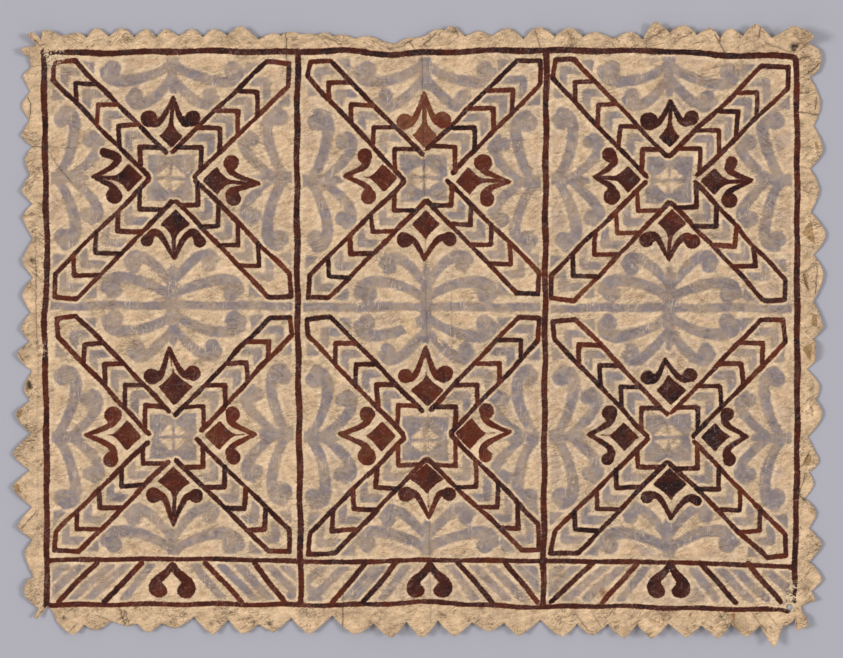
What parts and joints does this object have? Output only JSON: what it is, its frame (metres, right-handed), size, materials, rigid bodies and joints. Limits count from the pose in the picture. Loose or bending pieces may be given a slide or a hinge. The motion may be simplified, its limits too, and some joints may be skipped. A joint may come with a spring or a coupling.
{
  "type": "tapa cloth",
  "caption": "Rectangular sheet of beaten bark cloth lying flat, painted with leaf, arrow and diamond shapes, with a hand-pinked edge of teeth that curl up.",
  "frame": {"origin": "centre of the sheet's footprint, on the surface it lies on", "axes": "+X along the long side, to the right of the painted face; +Y up the painted face; +Z out of the painted face, upwards"},
  "size_m": [0.8118, 0.6244, 0.0268],
  "materials": {
    "bark_cloth": "matt cream-tan beaten bark with grey rubbed leaf shapes and dark red-brown brush lines"
  },
  "bodies": {
    "root": {"bark_cloth": "bark_cloth"}
  },
  "joints": []
}
